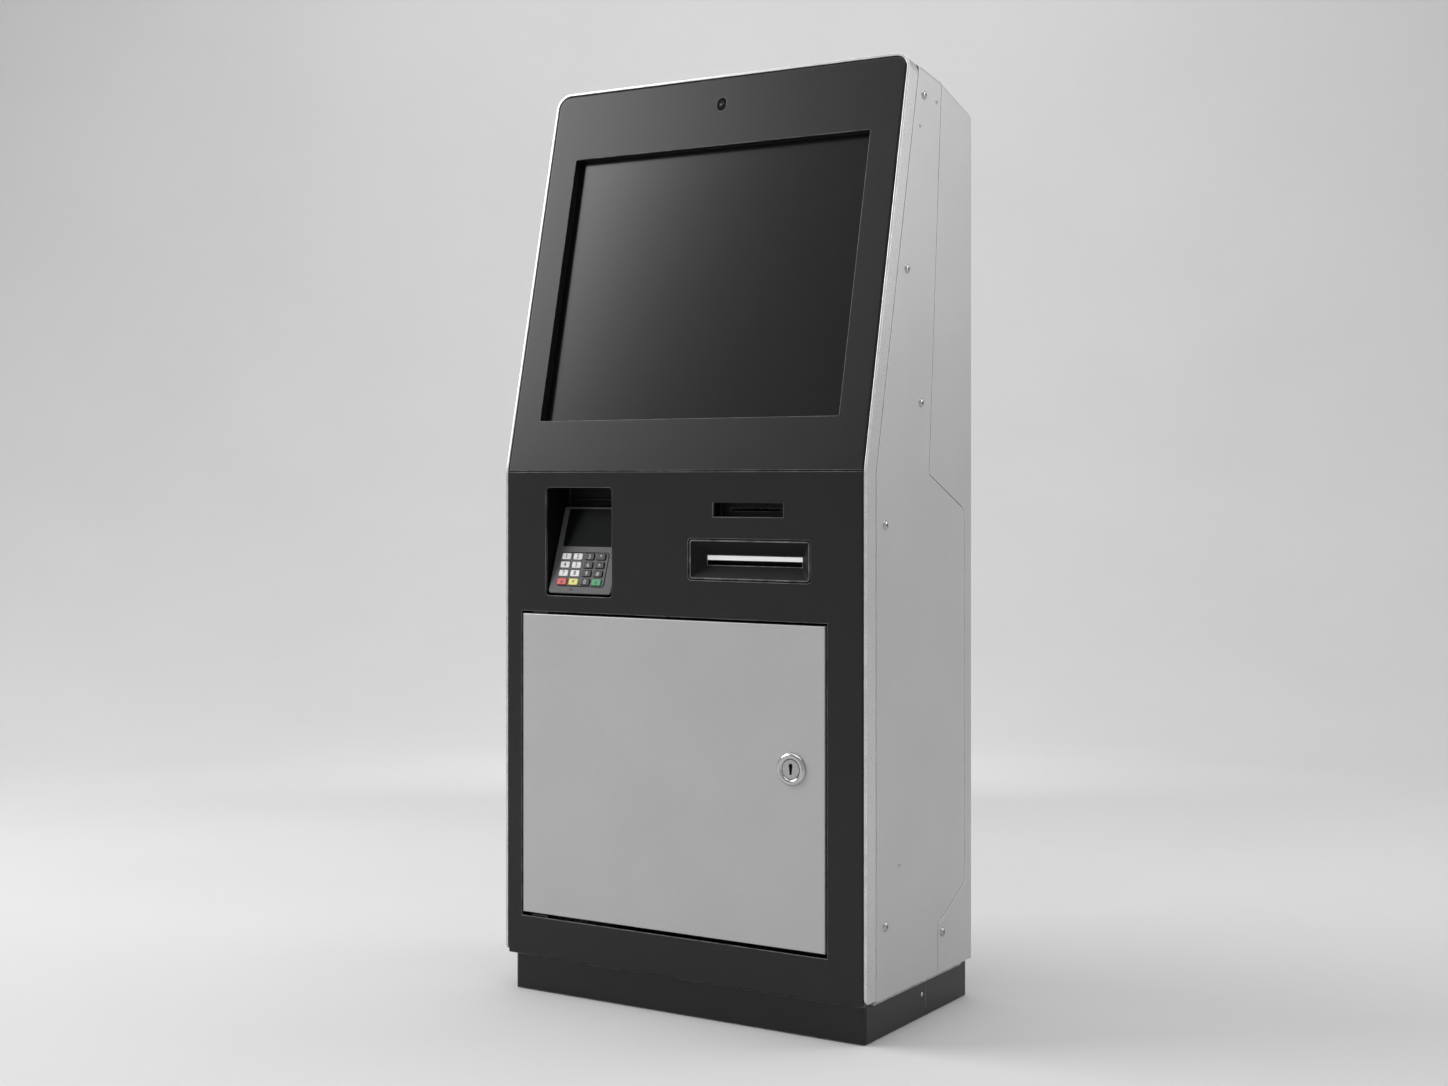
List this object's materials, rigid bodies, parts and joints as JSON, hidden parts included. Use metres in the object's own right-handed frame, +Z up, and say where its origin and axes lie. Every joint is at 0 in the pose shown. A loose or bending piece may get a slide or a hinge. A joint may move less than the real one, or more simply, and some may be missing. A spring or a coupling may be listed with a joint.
{
  "type": "atm machine",
  "caption": "Free-standing cash machine kiosk with a leaning touch screen, payment terminal with PIN keys, receipt slot, lit banknote mouth and keyed cabinet door.",
  "frame": {"origin": "on the floor, at the middle of the body's footprint", "axes": "+X to the right seen from the front, +Y to the rear, +Z up"},
  "size_m": [0.618, 0.345, 1.3623],
  "materials": {
    "silver_paint": "satin",
    "black_paint": "satin powder coat",
    "galvanised_steel": "matte",
    "plated_steel": "satin",
    "chrome": "polished",
    "screen_glass": "glossy",
    "grey_plastic": "satin",
    "black_plastic": "matte",
    "light_plastic": "lit",
    "paper": "matte",
    "rubber": "matte",
    "white_key": "satin",
    "dark_key": "satin",
    "red_key": "satin",
    "yellow_key": "satin",
    "green_key": "satin"
  },
  "bodies": {
    "kiosk": {"base_frame": "galvanised_steel", "body_screws": "plated_steel", "cable_bush": "black_plastic", "camera_window": "screen_glass", "cash_bezel": "black_plastic", "chassis_left": "galvanised_steel", "chassis_right": "galvanised_steel", "controller_box": "galvanised_steel", "dispenser_frame": "galvanised_steel", "display_bracket": "galvanised_steel", "display_panel": "black_plastic", "fan_frame": "black_plastic", "front_surround": "silver_paint", "inlet_plate": "silver_paint", "keypad_frame": "grey_plastic", "light_bar": "light_plastic", "lower_fascia": "black_paint", "lower_shelf": "galvanised_steel", "outer_shell": "silver_paint", "pivot_brackets": "black_paint", "plinth_front": "black_paint", "plinth_rear": "black_paint", "power_supply": "galvanised_steel", "rear_cover": "silver_paint", "receipt_liner": "black_paint", "receipt_printer": "grey_plastic", "recess_liner": "black_paint", "terminal_body": "grey_plastic", "terminal_display": "screen_glass", "touch_glass": "screen_glass", "upper_fascia": "black_paint", "upper_shelf": "galvanised_steel"},
    "cabinet_door": {"cabinet_door": "silver_paint", "cabinet_lock_ring": "chrome"},
    "cabinet_lock_plug": {"cabinet_lock_plug": "plated_steel"},
    "rear_door": {"rear_door": "silver_paint", "rear_lock_ring": "chrome"},
    "rear_lock_plug": {"rear_lock_plug": "plated_steel"},
    "note_cassette": {"note_cassette": "black_plastic"},
    "cash_shutter": {"cash_shutter": "black_plastic"},
    "upper_roller": {"upper_roller": "rubber"},
    "lower_roller": {"lower_roller": "rubber"},
    "paper_roll": {"paper_roll": "paper"},
    "fan_rotor": {"fan_rotor": "black_plastic"},
    "key_1": {"key_1": "white_key"},
    "key_2": {"key_2": "white_key"},
    "key_3": {"key_3": "dark_key"},
    "key_4": {"key_4": "dark_key"},
    "key_5": {"key_5": "white_key"},
    "key_6": {"key_6": "white_key"},
    "key_7": {"key_7": "dark_key"},
    "key_8": {"key_8": "dark_key"},
    "key_9": {"key_9": "white_key"},
    "key_10": {"key_10": "white_key"},
    "key_11": {"key_11": "dark_key"},
    "key_12": {"key_12": "dark_key"},
    "key_13": {"key_13": "red_key"},
    "key_14": {"key_14": "yellow_key"},
    "key_15": {"key_15": "dark_key"},
    "key_16": {"key_16": "green_key"}
  },
  "joints": [
    {"name": "cabinet_door_swing", "type": "hinge", "parent": "kiosk", "child": "cabinet_door", "pos_m": [-0.2432, -0.1595, 0.342], "axis": [0, 0, -1], "range_deg": [0, 110]},
    {"name": "cabinet_lock_turn", "type": "hinge", "parent": "cabinet_door", "child": "cabinet_lock_plug", "pos_m": [0.1902, -0.1675, 0.367], "axis": [0, -1, 0], "range_deg": [0, 90]},
    {"name": "rear_door_swing", "type": "hinge", "parent": "kiosk", "child": "rear_door", "pos_m": [0.2, 0.1595, 0.37], "axis": [0, 0, -1], "range_deg": [0, 110]},
    {"name": "rear_lock_turn", "type": "hinge", "parent": "rear_door", "child": "rear_lock_plug", "pos_m": [-0.1779, 0.1675, 0.37], "axis": [0, 1, 0], "range_deg": [0, 90]},
    {"name": "cassette_slide", "type": "slide", "parent": "kiosk", "child": "note_cassette", "axis": [0, -1, 0], "range_m": [0, 0.055]},
    {"name": "shutter_slide", "type": "slide", "parent": "kiosk", "child": "cash_shutter", "axis": [0, 0, 1], "range_m": [0, 0.012]},
    {"name": "lower_roller_turn", "type": "hinge", "parent": "kiosk", "child": "lower_roller", "pos_m": [0.1204, -0.0955, 0.6319], "axis": [1, 0, 0], "continuous": true},
    {"name": "upper_roller_turn", "type": "hinge", "parent": "kiosk", "child": "upper_roller", "pos_m": [0.1204, -0.0955, 0.6607], "axis": [1, 0, 0], "continuous": true},
    {"name": "paper_roll_turn", "type": "hinge", "parent": "kiosk", "child": "paper_roll", "pos_m": [0.1195, -0.0175, 0.745], "axis": [1, 0, 0], "continuous": true},
    {"name": "fan_turn", "type": "hinge", "parent": "kiosk", "child": "fan_rotor", "pos_m": [0, 0.1525, 1.08], "axis": [0, 1, 0], "continuous": true},
    {"name": "key_1_press", "type": "slide", "parent": "kiosk", "child": "key_1", "axis": [0, 0.9472, -0.3206], "range_m": [0, 0.001], "stiffness_N_per_m": 400, "springref_m": -0.0005},
    {"name": "key_2_press", "type": "slide", "parent": "kiosk", "child": "key_2", "axis": [0, 0.9472, -0.3206], "range_m": [0, 0.001], "stiffness_N_per_m": 400, "springref_m": -0.0005},
    {"name": "key_3_press", "type": "slide", "parent": "kiosk", "child": "key_3", "axis": [0, 0.9472, -0.3206], "range_m": [0, 0.001], "stiffness_N_per_m": 400, "springref_m": -0.0005},
    {"name": "key_4_press", "type": "slide", "parent": "kiosk", "child": "key_4", "axis": [0, 0.9472, -0.3206], "range_m": [0, 0.001], "stiffness_N_per_m": 400, "springref_m": -0.0005},
    {"name": "key_5_press", "type": "slide", "parent": "kiosk", "child": "key_5", "axis": [0, 0.9472, -0.3206], "range_m": [0, 0.001], "stiffness_N_per_m": 400, "springref_m": -0.0005},
    {"name": "key_6_press", "type": "slide", "parent": "kiosk", "child": "key_6", "axis": [0, 0.9472, -0.3206], "range_m": [0, 0.001], "stiffness_N_per_m": 400, "springref_m": -0.0005},
    {"name": "key_7_press", "type": "slide", "parent": "kiosk", "child": "key_7", "axis": [0, 0.9472, -0.3206], "range_m": [0, 0.001], "stiffness_N_per_m": 400, "springref_m": -0.0005},
    {"name": "key_8_press", "type": "slide", "parent": "kiosk", "child": "key_8", "axis": [0, 0.9472, -0.3206], "range_m": [0, 0.001], "stiffness_N_per_m": 400, "springref_m": -0.0005},
    {"name": "key_9_press", "type": "slide", "parent": "kiosk", "child": "key_9", "axis": [0, 0.9472, -0.3206], "range_m": [0, 0.001], "stiffness_N_per_m": 400, "springref_m": -0.0005},
    {"name": "key_10_press", "type": "slide", "parent": "kiosk", "child": "key_10", "axis": [0, 0.9472, -0.3206], "range_m": [0, 0.001], "stiffness_N_per_m": 400, "springref_m": -0.0005},
    {"name": "key_11_press", "type": "slide", "parent": "kiosk", "child": "key_11", "axis": [0, 0.9472, -0.3206], "range_m": [0, 0.001], "stiffness_N_per_m": 400, "springref_m": -0.0005},
    {"name": "key_12_press", "type": "slide", "parent": "kiosk", "child": "key_12", "axis": [0, 0.9472, -0.3206], "range_m": [0, 0.001], "stiffness_N_per_m": 400, "springref_m": -0.0005},
    {"name": "key_13_press", "type": "slide", "parent": "kiosk", "child": "key_13", "axis": [0, 0.9472, -0.3206], "range_m": [0, 0.001], "stiffness_N_per_m": 400, "springref_m": -0.0005},
    {"name": "key_14_press", "type": "slide", "parent": "kiosk", "child": "key_14", "axis": [0, 0.9472, -0.3206], "range_m": [0, 0.001], "stiffness_N_per_m": 400, "springref_m": -0.0005},
    {"name": "key_15_press", "type": "slide", "parent": "kiosk", "child": "key_15", "axis": [0, 0.9472, -0.3206], "range_m": [0, 0.001], "stiffness_N_per_m": 400, "springref_m": -0.0005},
    {"name": "key_16_press", "type": "slide", "parent": "kiosk", "child": "key_16", "axis": [0, 0.9472, -0.3206], "range_m": [0, 0.001], "stiffness_N_per_m": 400, "springref_m": -0.0005}
  ],
  "couplings": [
    {"joint": "upper_roller_turn", "follows": "lower_roller_turn", "ratio": -1}
  ]
}
